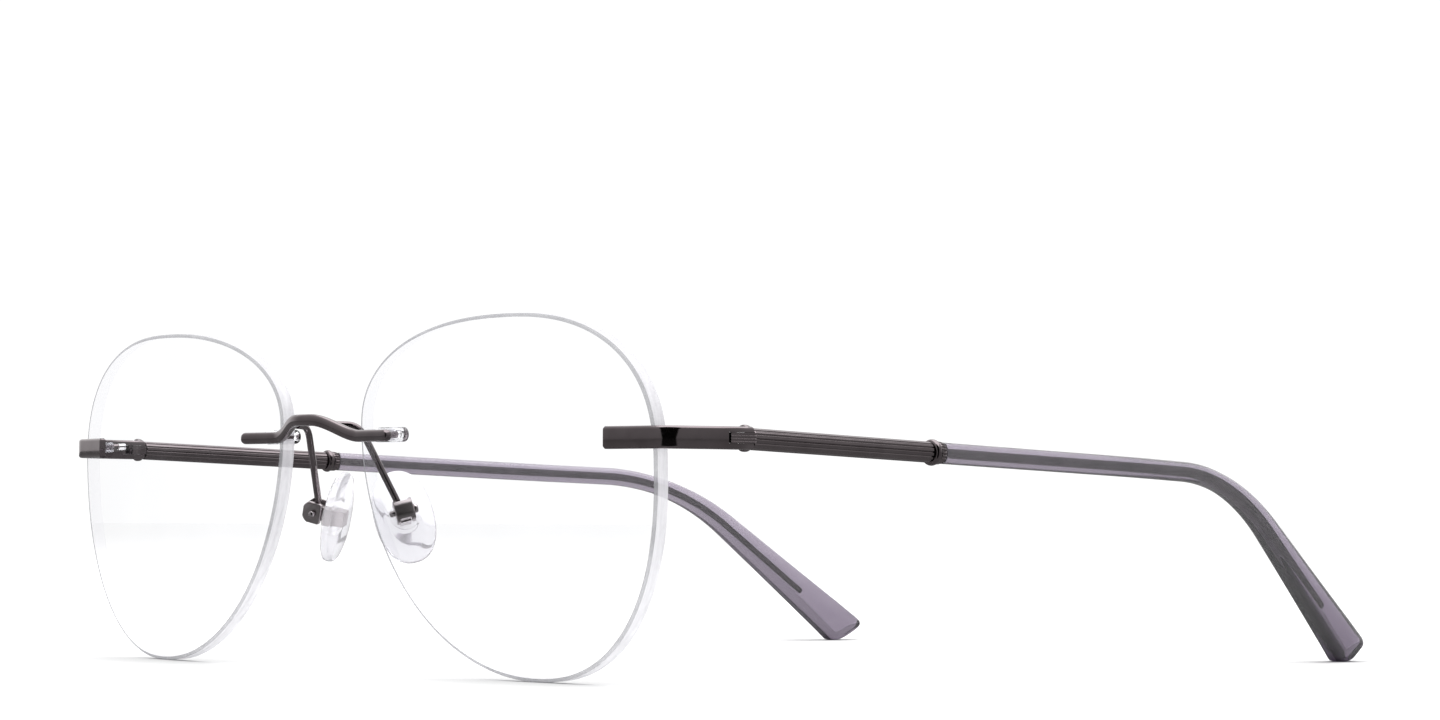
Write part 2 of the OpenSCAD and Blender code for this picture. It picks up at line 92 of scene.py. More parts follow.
FOLD = next(j for j in frame["joints"] if j["name"] == "temple_left_fold")
MID_Y = PIVOT_Y - 1000.0 * FOLD["pos_m"][1]  # design y of the product's origin


# ------------------------------------------------------------------ small geometry
def unit(vector):
    vector = np.asarray(vector, float)
    return vector / np.linalg.norm(vector)


def clamp(value):
    return max(0.0, min(1.0, value))


def circle(radius, n):
    angle = (np.arange(n) + 0.5) * 2 * pi / n
    return np.c_[radius * np.cos(angle), radius * np.sin(angle)]


def superellipse(half_x, half_y, n, power):
    angle = (np.arange(n) + 0.5) * 2 * pi / n
    c, s = np.cos(angle), np.sin(angle)
    return np.c_[half_x * np.sign(c) * np.abs(c) ** (2 / power),
                 half_y * np.sign(s) * np.abs(s) ** (2 / power)]


def rectangle(x0, x1, y0, y1):
    return np.array([(x0, y0), (x1, y0), (x1, y1), (x0, y1)])


def curve(start, control, end, n):
    """Quadratic Bezier points."""
    return [(1 - t) ** 2 * start + 2 * t * (1 - t) * control + t * t * end
            for t in np.linspace(0, 1, n)]


def line(start, end, steps):
    return [start + (end - start) * t for t in steps]


def inset_polygon(polygon, distance):
    """Counter-clockwise polygon moved inwards, its corners mitred."""
    points = np.asarray(polygon, float)
    edges = np.roll(points, -1, 0) - points
    edges /= np.linalg.norm(edges, axis=1)[:, None]
    after = np.c_[edges[:, 1], -edges[:, 0]]
    before = np.roll(after, 1, 0)
    stretch = np.maximum(1 + (after * before).sum(1), 0.35)  # limits sharp mitres
    return points - distance * (after + before) / stretch[:, None]


def tube(path, radius, n=24):
    """Rings along a path, with a flattened dome at its far end."""
    path = [np.asarray(p, float) for p in path]
    last = len(path) - 1
    tangents = [unit(path[min(i + 1, last)] - path[max(i - 1, 0)]) for i in range(last + 1)]
    across = unit(np.cross(tangents[0], [0.3, 0.2, 1.0]))
    section = circle(radius, n)
    rings = []
    for point, along in zip(path, tangents):
        across = unit(across - along * (across @ along))
        up = np.cross(along, across)
        rings.append([point + across * c[0] + up * c[1] for c in section])
    for degrees in (25, 50, 72, 86):
        tip = point + along * radius * 0.7 * sin(radians(degrees))
        rings.append([tip + (across * c[0] + up * c[1]) * cos(radians(degrees))
                      for c in section])
    return rings


# ------------------------------------------------------------------ mesh building
def band_faces(ring_count, n):
    return [[i * n + j, i * n + (j + 1) % n, (i + 1) * n + (j + 1) % n, (i + 1) * n + j]
            for i in range(ring_count - 1) for j in range(n)]


class Soup:
    """Vertices and faces in design millimetres, with a material slot per face.

    A place function maps a shape's local (x, y, height) to design millimetres.
    """

    def __init__(self):
        self.verts, self.faces, self.slots = [], [], []

    def add(self, verts, faces, slot=0):
        first = len(self.verts)
        self.verts.extend([tuple(map(float, p)) for p in verts])
        self.faces.extend([[first + i for i in face] for face in faces])
        self.slots.extend([slot] * len(faces))
        return self

    def loft(self, rings, slot=0, capped=True):
        """Closed rings joined into a skin, whose ends close with fans."""
        rings = [np.asarray(ring, float) for ring in rings]
        n = len(rings[0])
        verts = [p for ring in rings for p in ring]
        faces = band_faces(len(rings), n)
        if capped:
            centre, last = len(verts), len(verts) - n
            verts += [rings[0].mean(0), rings[-1].mean(0)]
            faces += [[centre, (j + 1) % n, j] for j in range(n)]
            faces += [[centre + 1, last + j, last + (j + 1) % n] for j in range(n)]
        return self.add(verts, faces, slot)

    def lathe(self, profile, place, n=40, slot=0, capped=True):
        """Turned shape from a profile of (radius, height) pairs."""
        rings = [[place(p[0], p[1], height) for p in circle(radius, n)]
                 for radius, height in profile]
        return self.loft(rings, slot, capped)

    def prism(self, polygon, low, high, radius, place, steps):
        """Extruded polygon whose top and bottom edges are rounded."""
        levels = []
        for k in range(steps + 1):
            angle = pi / 2 * k / steps
            levels.append((inset_polygon(polygon, radius * (1 - sin(angle))),
                           radius * (1 - cos(angle))))
        levels = ([(points, low + rise) for points, rise in levels]
                  + [(points, high - rise) for points, rise in levels[::-1]])
        n = len(polygon)
        verts = [place(p[0], p[1], height) for points, height in levels for p in points]
        last = len(verts) - n
        faces = band_faces(len(levels), n)
        faces += [list(range(n))[::-1], [last + j for j in range(n)]]
        return self.add(verts, faces)


def link(ob):
    bpy.context.scene.collection.objects.link(ob)
    return ob


def shade(mesh, sharp):
    """Smooth shading with edges above an angle in degrees kept sharp."""
    mesh.polygons.foreach_set("use_smooth", [True] * len(mesh.polygons))
    mesh.set_sharp_from_angle(angle=radians(sharp))


def build(name, soup, sign, mats, sharp=35.0):
    """Makes an object. A sign of -1 mirrors the left-hand shape to the right."""
    verts = np.array(soup.verts, float)
    verts[:, 1] -= MID_Y
    verts[:, 0] *= sign
    faces = soup.faces if sign > 0 else [face[::-1] for face in soup.faces]
    mesh = bpy.data.meshes.new(name)
    mesh.from_pydata((verts * 0.001).tolist(), [], faces)
    mesh.update()
    for mat in mats:
        mesh.materials.append(mat)
    mesh.polygons.foreach_set("material_index", soup.slots)
    bm = bmesh.new()
    bm.from_mesh(mesh)
    bmesh.ops.recalc_face_normals(bm, faces=bm.faces)
    bm.to_mesh(mesh)
    bm.free()
    shade(mesh, sharp)
    return link(bpy.data.objects.new(name, mesh))


def cut(ob, cutters, sharp):
    """Subtracts the cutters from an object one by one and deletes them."""
    for cutter in cutters:
        boolean = ob.modifiers.new("cut", "BOOLEAN")
        boolean.operation, boolean.solver, boolean.object = "DIFFERENCE", "EXACT", cutter
        bpy.context.view_layer.update()
        depsgraph = bpy.context.evaluated_depsgraph_get()
        mesh = bpy.data.meshes.new_from_object(ob.evaluated_get(depsgraph))
        ob.modifiers.clear()
        old = ob.data
        ob.data = mesh
        mesh.name = old.name + "_cut"
        bpy.data.meshes.remove(old)
    for cutter in cutters:
        mesh = cutter.data
        bpy.data.objects.remove(cutter)
        bpy.data.meshes.remove(mesh)
    shade(ob.data, sharp)


def fit(ob, node, body):
    """Puts an object in the place of a CAD node and on a moving body."""
    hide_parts(node)
    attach(ob, body)


# ------------------------------------------------------------------ lens frame
# quadrants from the outer point over the top: centre u, v; signed reach u, v; power
QUADRANTS = (
    (U_TOP, V_OUTER, LENS_W - U_TOP, LENS_H - V_OUTER, 2.4),
    (U_TOP, V_NASAL, -U_TOP, LENS_H - V_NASAL, 2.2),
    (U_BOTTOM, V_NASAL, -U_BOTTOM, -V_NASAL, 1.97),
    (U_BOTTOM, V_OUTER, LENS_W - U_BOTTOM, -V_OUTER, 2.3),
)


def lens_outline(n):
    """Edge of the lens about its box centre, n points per quadrant."""
    points = []
    for q, (centre_u, centre_v, reach_u, reach_v, power) in enumerate(QUADRANTS):
        for i in range(n):
            angle = pi / 2 * i / n
            falling, rising = (abs(f(angle)) ** (2 / power) for f in (cos, sin))
            part_u, part_v = (rising, falling) if q % 2 else (falling, rising)
            points.append((centre_u + reach_u * part_u - HALF_W,
                           centre_v + reach_v * part_v - HALF_H))
    return np.array(points)


def turned(u, v, w):
    """Lens coordinates, w towards the front, leaned and wrapped."""
    y = -v * sin(LEAN) - w * cos(LEAN)
    z = v * cos(LEAN) - w * sin(LEAN)
    return np.array([u * cos(WRAP) - y * sin(WRAP), u * sin(WRAP) + y * cos(WRAP), z])


def sag(u, v, radius=LENS_R):
    """w of a sphere about the lens's centre of curvature."""
    return sqrt(radius * radius - u * u - v * v) - LENS_R


def lens_origin():
    nasal_v = V_NASAL - HALF_H
    nasal = turned(-HALF_W, nasal_v, sag(HALF_W, nasal_v))
    lowest = min(turned(u, v, sag(u, v))[2] for u, v in lens_outline(18))
    return np.array([HALF_GAP - nasal[0], -nasal[1], -lowest])


LENS_AT = lens_origin()
BRIDGE_V, END_V = BRIDGE_Z - LENS_AT[2], END_Z - LENS_AT[2]


def lens_point(u, v, w):
    return turned(u, v, w) + LENS_AT


def on_lens(u, v):
    """Place function standing on the lens front at (u, v), height towards the front."""
    return lambda x, y, h: lens_point(u + x, v + y, sag(u, v) + h)


# ------------------------------------------------------------------ other frames
def temple_point(s):
    slope = DROP + max(0.0, min(BEND_A - DROP, (s - BEND_S) / BEND_R))
    straight = min(s, BEND_S)
    far = max(0.0, s - BEND_S - BEND_R * (BEND_A - DROP))
    y = (TEMPLE_Y + cos(DROP) * straight + BEND_R * (sin(slope) - sin(DROP))
         + cos(BEND_A) * far)
    z = (END_Z - sin(DROP) * straight - BEND_R * (cos(DROP) - cos(slope))
         - sin(BEND_A) * far)
    curl = clamp((y - CURL_Y) / CURL_LEN)
    x = (HUB_X - tan(INWARD) * (y - TEMPLE_Y)
         - CURL_SLOPE * (CURL_LEN * curl * curl / 2 + max(0.0, y - CURL_Y - CURL_LEN)))
    return np.array([x, y, z])


def temple_frame(s):
    """Point on the path with its directions along, outwards and up."""
    along = unit(temple_point(s + 0.4) - temple_point(s - 0.4))
    out = unit(np.cross(along, [0, 0, 1.0]))
    return temple_point(s), along, out, np.cross(out, along)


def on_temple(s):
    """Place function whose height runs straight back along the temple from s."""
    point, along, out, up = temple_frame(s)
    return lambda x, y, h: point + out * x + up * y + along * h


def pad_point(x, y, z):
    """Pad coordinates: -x faces the nose."""
    return PAD_AT + PAD_TURN @ np.array([x, y, z], float)


def on_box(x, y, h):
    return pad_point(BOX_X + x, h, y)


def on_pivot(x, y, h):
    return (PIVOT_X + x, PIVOT_Y + y, h)


def level(x, y, h):
    return (x, y, h)


# ------------------------------------------------------------------ shader helpers
def new_material(name):
    mat = bpy.data.materials.new(name)
    mat.use_nodes = True
    mat.node_tree.nodes.clear()
    return mat, mat.node_tree


def add_node(tree, kind, inputs=(), **settings):
    """Adds a shader node, sets its settings, then fills its inputs with links or values."""
    node = tree.nodes.new("ShaderNode" + kind)
    for name, value in settings.items():
        setattr(node, name, value)
    for key, value in dict(inputs).items():
        if isinstance(value, bpy.types.NodeSocket):
            tree.links.new(value, node.inputs[key])
        else:
            node.inputs[key].default_value = value
    return node


def grey(value):
    return (value, value, value)


def calc(tree, operation, a, b, **settings):
    return add_node(tree, "Math", {0: a, 1: b}, operation=operation, **settings).outputs[0]


def noise(tree, scale, detail, rough, stretch=(1, 1, 1), seed=0.0):
    """Noise in object space; the seed shifts it."""
    coords = add_node(tree, "TexCoord").outputs["Object"]
    mapped = add_node(tree, "Mapping", {"Vector": coords, "Scale": stretch,
                                        "Location": (seed, seed * 0.7, -seed)})
    return add_node(tree, "TexNoise", {"Vector": mapped.outputs[0], "Scale": scale,
                                       "Detail": detail, "Roughness": rough}).outputs[0]


def map_range(tree, source, to, over=(0.3, 0.7), **settings):
    return add_node(tree, "MapRange", {
        "Value": source, "From Min": over[0], "From Max": over[1],
        "To Min": to[0], "To Max": to[1]}, **settings).outputs["Result"]


def ramp(tree, source, *stops):
    """Colour ramp from (position, colour) stops."""
    node = add_node(tree, "ValToRGB", {0: source})
    elements = node.color_ramp.elements
    while len(elements) < len(stops):
        elements.new(0.5)
    for element, (position, color) in zip(elements, stops):
        element.position, element.color = position, (*color, 1)
    return node.outputs[0]


def bump(tree, height, strength, distance):
    return add_node(tree, "Bump", {"Height": height, "Strength": strength,
                                   "Distance": distance}).outputs[0]


def mix_shader(tree, share, first, second):
    return add_node(tree, "MixShader", {0: share, 1: first, 2: second}).outputs[0]


def transparent(tree, color):
    return add_node(tree, "BsdfTransparent", {0: color}).outputs[0]


def see_through_shadow(tree, shader, tint):
    """Light passes the piece as tinted light, without caustics."""
    shadow = add_node(tree, "LightPath").outputs["Is Shadow Ray"]
    share = calc(tree, "MULTIPLY", shadow, 1.0)
    return mix_shader(tree, share, shader, transparent(tree, (*tint, 1)))


# ------------------------------------------------------------------ materials
def metal(name, dark, light, rough, scratch, seed=0.0):
    """Polished plating: slow tone changes, fine polishing lines, tiny pits, a lighter colour on
    sharp convex edges.
    """
    mat, tree = new_material(name)
    slow = noise(tree, scale=260.0, detail=3.0, rough=0.5, seed=seed)
    lines = noise(tree, scale=1500.0, detail=6.0, rough=0.65, stretch=(1.0, 0.12, 1.0),
                  seed=seed + 3)
    pits = noise(tree, scale=5200.0, detail=2.0, rough=0.5, seed=seed + 7)
    # a lighter colour is mixed in on sharp convex edges, found from pointiness
    edges = add_node(tree, "NewGeometry").outputs["Pointiness"]
    convex_edge_color = (*[min(1.0, c * 1.7) for c in light], 1)
    color = add_node(tree, "Mix", {
        "Factor": map_range(tree, edges, to=(0.0, 0.3), over=(0.52, 0.64)),
        "A": ramp(tree, slow, (0.32, dark), (0.68, light)),
        "B": convex_edge_color}, data_type="RGBA")
    relief = calc(tree, "ADD", lines, pits)
    shader = add_node(tree, "BsdfPrincipled", {
        "Base Color": color.outputs["Result"],
        "Metallic": 1.0,
        "Roughness": map_range(tree, lines, to=rough),
        "Normal": bump(tree, relief, strength=scratch, distance=0.00002)})
    add_node(tree, "OutputMaterial", {"Surface": shader.outputs[0]})
    return mat


def lens_face():
    """Thin spectacle lens: straight see-through, mirror share by angle, faint wipe marks."""
    mat, tree = new_material("lens_clear")
    wipes = noise(tree, scale=120.0, detail=3.0, rough=0.5, seed=1.0)
    clear_part = transparent(tree, ramp(tree, wipes, (0.3, (0.975, 0.977, 0.982)),
                                        (0.7, (0.99, 0.99, 0.993))))
    gloss = add_node(tree, "BsdfGlossy", {"Roughness": map_range(tree, wipes, to=(0.0, 0.03))})
    fresnel = add_node(tree, "Fresnel", {"IOR": 1.22})
    # no mirror share for shadow rays or on faces seen from behind
    shadow = add_node(tree, "LightPath").outputs["Is Shadow Ray"]
    behind = add_node(tree, "NewGeometry").outputs["Backfacing"]
    mirrored = calc(tree, "SUBTRACT", 1.0, calc(tree, "MAXIMUM", shadow, behind))
    share = calc(tree, "MULTIPLY", fresnel.outputs[0], mirrored)
    surface = mix_shader(tree, share, clear_part, gloss.outputs[0])
    add_node(tree, "OutputMaterial", {"Surface": surface})
    return mat


def veil(name, dark, light, open_front, open_behind, rough, scale, stretch, seed):
    """Milky clear plastic: part see-through, part soft white, streaked by noise.

    open_front and open_behind are the see-through shares of outer and inner faces.
    """
    mat, tree = new_material(name)
    streaks = noise(tree, scale, detail=4.0, rough=0.6, stretch=stretch, seed=seed)
    color = ramp(tree, streaks, (0.3, dark), (0.7, light))
    shader = add_node(tree, "BsdfPrincipled", {
        "Base Color": color,
        "Roughness": map_range(tree, streaks, to=rough),
        "IOR": 1.5,
        "Normal": bump(tree, streaks, strength=0.06, distance=0.00003)})
    glow = add_node(tree, "BsdfTranslucent", {0: color})
    body = mix_shader(tree, 0.35, shader.outputs[0], glow.outputs[0])
    behind = add_node(tree, "NewGeometry").outputs["Backfacing"]
    shadow = add_node(tree, "LightPath").outputs["Is Shadow Ray"]
    share = calc(tree, "MAXIMUM",
                 map_range(tree, behind, to=(open_front, open_behind), over=(0.0, 1.0)),
                 calc(tree, "MULTIPLY", shadow, 0.88))
    surface = mix_shader(tree, share, body, transparent(tree, (0.96, 0.96, 0.975, 1)))
    add_node(tree, "OutputMaterial", {"Surface": surface})
    return mat


def clear(name, tint, ior, rough, wave_scale, wave_bump, seed, milk=0.0):
    """Clear moulded or polished plastic with faint surface waviness."""
    mat, tree = new_material(name)
    tone = noise(tree, scale=700.0, detail=3.0, rough=0.5, seed=seed)
    waves = noise(tree, wave_scale, detail=2.0, rough=0.5, seed=seed + 5)
    lighter = tuple(min(1.0, c * 1.015) for c in tint)
    shader = add_node(tree, "BsdfPrincipled", {
        "Base Color": ramp(tree, tone, (0.3, tint), (0.7, lighter)),
        "Transmission Weight": 1.0 - milk,
        "IOR": ior,
        "Roughness": map_range(tree, tone, to=rough),
        "Normal": bump(tree, waves, strength=wave_bump, distance=0.0001)})
    surface = see_through_shadow(tree, shader.outputs[0], tint=(0.93, 0.93, 0.94))
    add_node(tree, "OutputMaterial", {"Surface": surface})
    return mat


def acetate():
    """Translucent lavender-grey acetate: absorbs with depth, faint flow streaks."""
    mat, tree = new_material("tip_acetate")
    flow = noise(tree, scale=420.0, detail=3.0, rough=0.5, stretch=(1.0, 0.2, 1.0), seed=83.0)
    waves = noise(tree, scale=240.0, detail=2.0, rough=0.5, seed=91.0)
    shader = add_node(tree, "BsdfPrincipled", {
        "Base Color": ramp(tree, flow, (0.3, (0.87, 0.855, 0.885)), (0.7, (0.93, 0.915, 0.94))),
        "Transmission Weight": 0.94,
        "IOR": 1.47,
        "Roughness": map_range(tree, flow, to=(0.03, 0.09)),
        "Normal": bump(tree, waves, strength=0.03, distance=0.0001)})
    volume = add_node(tree, "VolumeAbsorption",
                      {"Color": (0.42, 0.36, 0.455, 1), "Density": 790.0})
    surface = see_through_shadow(tree, shader.outputs[0], tint=(0.42, 0.38, 0.46))
    add_node(tree, "OutputMaterial", {"Surface": surface, "Volume": volume.outputs[0]})
    return mat


GUNMETAL = metal("gunmetal_plating", dark=(0.17, 0.145, 0.152), light=(0.21, 0.182, 0.19),
                 rough=(0.06, 0.12), scratch=0.012)
SCREW = metal("screw_plating", dark=(0.34, 0.31, 0.32), light=(0.46, 0.43, 0.44),
              rough=(0.12, 0.2), scratch=0.03, seed=11.0)
BRACKET = metal("bracket_plating", dark=(0.27, 0.245, 0.252), light=(0.36, 0.33, 0.338),
                rough=(0.28, 0.4), scratch=0.05, seed=31.0)
CORE = metal("core_wire_satin", dark=(0.075, 0.068, 0.072), light=(0.11, 0.1, 0.106),
             rough=(0.38, 0.5), scratch=0.08, seed=23.0)
LENS = lens_face()
# painted dark outline: a dark grey, partly see-through coat on the front chamfer and a band beside
# it, standing in for the dark edge that refraction gives a clear lens
BEVEL = veil("lens_edge_painted_outline", dark=(0.26, 0.26, 0.275), light=(0.36, 0.36, 0.375),
             open_front=0.25, open_behind=0.4, rough=(0.2, 0.3), scale=600.0,
             stretch=(0.5, 0.5, 0.5), seed=15.0)
PAD = clear("nose_pad_clear", tint=(0.87, 0.865, 0.895), ior=1.4, rough=(0.03, 0.09),
            wave_scale=320.0, wave_bump=0.05, seed=41.0, milk=0.24)
BUSHING = clear("bushing_clear", tint=(0.94, 0.94, 0.96), ior=1.49, rough=(0.02, 0.06),
                wave_scale=500.0, wave_bump=0.03, seed=57.0)
EDGE = veil("lens_edge_satin", dark=(0.56, 0.552, 0.58), light=(0.72, 0.712, 0.74),
            open_front=0.2, open_behind=0.93, rough=(0.25, 0.4), scale=900.0,
            stretch=(0.25, 1.6, 0.25), seed=71.0)
TIP = acetate()

# ------------------------------------------------------------------ lenses
LENS_MATS = (LENS, EDGE, BEVEL)
FACE_SLOT, EDGE_SLOT, PAINTED_OUTLINE_SLOT = range(3)
FACE_STEPS = (0.02, 0.15, 0.3, 0.45, 0.6, 0.72, 0.82, 0.9, 0.95, 0.98)
CHAMFER, BEVEL_BAND = 0.18, 0.3  # edge chamfer, band on the front face beside it
CLEARANCE, BLOCK_DEPTH = 0.04, 9.0  # of the lens-shaped cutter for the endpieces


def lens_ring(points, radius, offset=0.0):
    return [lens_point(u, v, sag(u, v, radius) + offset) for u, v in points]


def lens_soup():
    edge = lens_outline(72)
    reach = np.linalg.norm(edge, axis=1)
    back_r = LENS_R - LENS_T

    def inset(distance):
        return edge * (1 - distance / reach)[:, None]

    # points, radius, offset to the front, slot of the band that follows
    rows = [(edge * f, LENS_R, 0, FACE_SLOT) for f in FACE_STEPS]
    rows += [
        # the front chamfer and the band beside it carry the painted dark outline
        (inset(CHAMFER + BEVEL_BAND), LENS_R, 0, PAINTED_OUTLINE_SLOT),
        (inset(CHAMFER), LENS_R, 0, PAINTED_OUTLINE_SLOT),
        (edge, LENS_R, -CHAMFER, EDGE_SLOT),
        (edge, LENS_R, -LENS_T / 2, EDGE_SLOT),
        (edge, back_r, CHAMFER, EDGE_SLOT),
        (inset(CHAMFER), back_r, 0, FACE_SLOT),
    ]
    rows += [(edge * f, back_r, 0, FACE_SLOT) for f in FACE_STEPS[::-1]]
    soup = Soup().loft([lens_ring(*row[:3]) for row in rows])
    n = len(edge)
    soup.slots = [row[3] for row in rows[:-1] for _ in range(n)] + [FACE_SLOT] * (2 * n)
    return soup


def lens_block_soup():
    """Slightly larger lens outline reaching deep behind the front face."""
    edge = lens_outline(48) * np.array([1 + 2 * CLEARANCE / LENS_W, 1 + 2 * CLEARANCE / LENS_H])
    radius = LENS_R + 0.02
    rings = [lens_ring(edge * f, radius) for f in (*FACE_STEPS, 1)]
    rings += [lens_ring(edge * f, radius, -BLOCK_DEPTH) for f in (1, 0.8, 0.4, 0.02)]
    return Soup().loft(rings)


for side, sign in SIDES:
    lens = build("lens_" + side + "_glass", lens_soup(), sign, LENS_MATS, 25)
    cutters = []
    for pins, v in ((BRIDGE_PINS, BRIDGE_V), (END_PINS, END_V)):
        for u in pins:
            hole_r = BARREL_R + 0.02
            hole = Soup().lathe([(hole_r, 1.5), (hole_r, -3.5)], on_lens(u, v), slot=EDGE_SLOT)
            cutters.append(build("cutter", hole, sign, LENS_MATS))
    cut(lens, cutters, 25)
    fit(lens, "lens_" + side, "front")

# ------------------------------------------------------------------ bushings
PLATE_R = 0.95  # end radius of the plate that joins two bushings behind the lens
# radius, height from the lens front
BUSHING_PROFILE = [
    (BORE_R, -2.0), (BARREL_R - 0.06, -2.0), (BARREL_R, -1.94), (BARREL_R, -0.12),
    (BARREL_R - 0.08, -0.02), (BORE_R, -0.02), (BORE_R, -2.0),
]


def bushing_soup(pins, v):
    soup = Soup()
    for u in pins:
        soup.lathe(BUSHING_PROFILE, on_lens(u, v), capped=False)
    # the plate runs on towards the middle of the lens
    u0, u1 = min(pins), max(pins)
    if pins[0] > 0:
        u0 -= PLATE_R
    else:
        u1 += PLATE_R
    angles = np.linspace(-pi / 2, pi / 2, 14)
    plate = [(u1 + PLATE_R * cos(a), v + PLATE_R * sin(a)) for a in angles]
    plate += [(u, v + PLATE_R) for u in np.linspace(u1, u0, 8)[1:-1]]
    plate += [(u0 - PLATE_R * cos(a), v - PLATE_R * sin(a)) for a in angles]
    plate += [(u, v - PLATE_R) for u in np.linspace(u0, u1, 8)[1:-1]]
    return soup.prism(np.array(plate), -LENS_T - 0.84, -LENS_T - 0.02, 0.3,
                      lambda x, y, h: lens_point(x, y, sag(x, y) + h), steps=5)


for side, sign in SIDES:
    for part, pins, v in (("bridge", BRIDGE_PINS, BRIDGE_V), ("end", END_PINS, END_V)):
        bushing = build(part + "_bushing_" + side + "_clear", bushing_soup(pins, v), sign,
                        (BUSHING,), 40)
        holes = [build("cutter", Soup().lathe([(BORE_R, -1.99), (BORE_R, -4.0)],
                                              on_lens(u, v), 32), sign, (BUSHING,))
                 for u in pins]
        cut(bushing, holes, 40)
        fit(bushing, part + "_bushing_" + side, "front")


def pins_soup(pins, v):
    soup = Soup()
    for u in pins:
        soup.lathe([(PIN_R, 0.4), (PIN_R, -2.94), (PIN_R - 0.06, -3.0)], on_lens(u, v), 32)
    return soup


# ------------------------------------------------------------------ bridge
BAR_HALF, BAR_CAP = 16.8, 0.8  # half length, length of a rounded end
BAR_HALF_H = 0.78


def bar_z(x):
    """The middle of the bar arches up over the nose."""
    return BRIDGE_Z + 2.16 * (0.5 + 0.5 * cos(pi * clamp((abs(x) - 1.5) / 8.3)))


def bar_y(x):
    """y of the front and back faces; the middle bows to the front."""
    bow = 0.5 + 0.5 * cos(pi * min(1, abs(x) / 9.8))
    wing = -0.0536 * max(0, abs(x) - HALF_GAP)
    return wing - 1.28 - 2.1 * bow, wing - 0.03 - 2.0 * bow


def bar_centre(x):
    return np.array([x, sum(bar_y(x)) / 2, bar_z(x)])


def bridge_soup():
    body = BAR_HALF - BAR_CAP
    cap = [body + BAR_CAP * sin(a) for a in np.linspace(0, pi / 2, 10)[1:]]
    rings = []
    for x in [-c for c in cap[::-1]] + list(np.linspace(-body, body, 121)) + cap:
        k = max(0.0, (abs(x) - body) / BAR_CAP)
        height = max(0.04, sqrt(max(0, 1 - k * k)))
        depth = max(0.3, max(0.0, 1 - k ** 3.2) ** (1 / 3.2))
        front, back = bar_y(x)
        along = unit(bar_centre(x + 0.05) - bar_centre(x - 0.05))
        to_back = unit(np.cross([0, 0, 1.0], along))
        up = np.cross(along, to_back)
        section = superellipse((back - front) / 2 * depth, BAR_HALF_H * height, 44, 3.0)
        rings.append([bar_centre(x) + to_back * p[0] + up * p[1] for p in section])
    soup = Soup().loft(rings)
    pins = pins_soup(BRIDGE_PINS, BRIDGE_V)
    soup.add(pins.verts, pins.faces)
    return soup.add([(-x, y, z) for x, y, z in pins.verts], pins.faces)


fit(build("bridge_bar", bridge_soup(), 1, (GUNMETAL,), 40), "bridge", "front")

# ------------------------------------------------------------------ pad arms
ARM_START = np.array([4.5, -0.72, 32.15])
ARM_ELBOW = np.array([5.9, 1.97, 32.05])
ARM_END = np.array([9.03, 5.87, 22.25])


def pad_arm_soup():
    bend_start = ARM_ELBOW + 1.5 * unit(ARM_START - ARM_ELBOW)
    bend_end = ARM_ELBOW + 1.7 * unit(ARM_END - ARM_ELBOW)
    path = line(ARM_START, ARM_ELBOW, (0.0, 0.2))
    path += curve(bend_start, ARM_ELBOW, bend_end, 12)
    path += line(bend_end, ARM_END, np.linspace(0, 1, 12)[1:])
    return Soup().loft(tube(path, WIRE_R))


for side, sign in SIDES:
    arm = build("pad_arm_" + side + "_wire", pad_arm_soup(), sign, (GUNMETAL,), 50)
    fit(arm, "pad_arm_" + side, "front")

# ------------------------------------------------------------------ nose pads
PAD_HALF_Y, PAD_HALF_Z, PAD_T = 3.9, 6.3, 2.8
PAD_BACK = PAD_T * 0.57
BOSS_OVAL = 1.12  # height of the boss against its width
# radius, rise above the boss's base
BOSS_PROFILE = [(2.3, -0.02), (2.12, 0.05), (1.98, 0.2), (1.86, 0.25), (1.3, 0.25),
                (0.6, 0.25), (0.1, 0.25)]


def pad_soup():
    """Oval pad: bearing face towards the nose, rolled rim, back with a raised boss."""
    n = 72

    def ring(k, x):
        return [pad_point(x, y, z)
                for y, z in superellipse(PAD_HALF_Y * k, PAD_HALF_Z * k, n, 2.25)]

    def face_x(k):
        return -PAD_T * 0.43 + 1.05 * (k ** 2.4) * 0.9

    def back_x(k):
        return PAD_BACK - 0.95 * (k ** 2.2)

    rings = [ring(k, face_x(k)) for k in (0.03, 0.2, 0.4, 0.58, 0.72, 0.83, 0.9, 0.95, 0.98)]
    rim_face, rim_back = face_x(0.98), back_x(0.96)
    middle, half = (rim_face + rim_back) / 2, (rim_back - rim_face) / 2
    for degrees in (35, 62, 90, 118, 145):
        angle = radians(degrees)
        rings.append(ring(0.972 + 0.028 * sin(angle), middle - half * cos(angle)))
    rings += [ring(k, back_x(k)) for k in (0.95, 0.88, 0.8, 0.7, 0.6)]
    round_section = superellipse(1, 1, n, 2.0)
    for radius, rise in BOSS_PROFILE:
        rings.append([pad_point(PAD_BACK - 0.2 + rise, y * radius, z * radius * BOSS_OVAL)
                      for y, z in round_section])
    return Soup().loft(rings)


for side, sign in SIDES:
    pad = build("nose_pad_" + side + "_soft", pad_soup(), sign, (PAD,), 60)
    fit(pad, "nose_pad_" + side, "pad_" + side)

# ------------------------------------------------------------------ pad boxes
BOX_R, BOX_HALF = 1.65, 1.25  # profile radius, half width between the outer cheek faces
BOX_FLAT_X = 1.5  # the round profile is cut flat here


def box_soup():
    def arc(degrees):
        return BOX_R * cos(radians(degrees)), BOX_R * sin(radians(degrees))

    profile = [(min(x, BOX_FLAT_X), z) for x, z in map(arc, np.linspace(-61.5, 61.5, 17))]
    profile += [(0.0, 1.45), arc(118.5), arc(131.8), (-1.1, 0.0), arc(228.2), arc(241.5),
                (0.0, -1.45)]
    return Soup().prism(np.array(profile), -BOX_HALF, BOX_HALF, 0.17, on_box, steps=4)


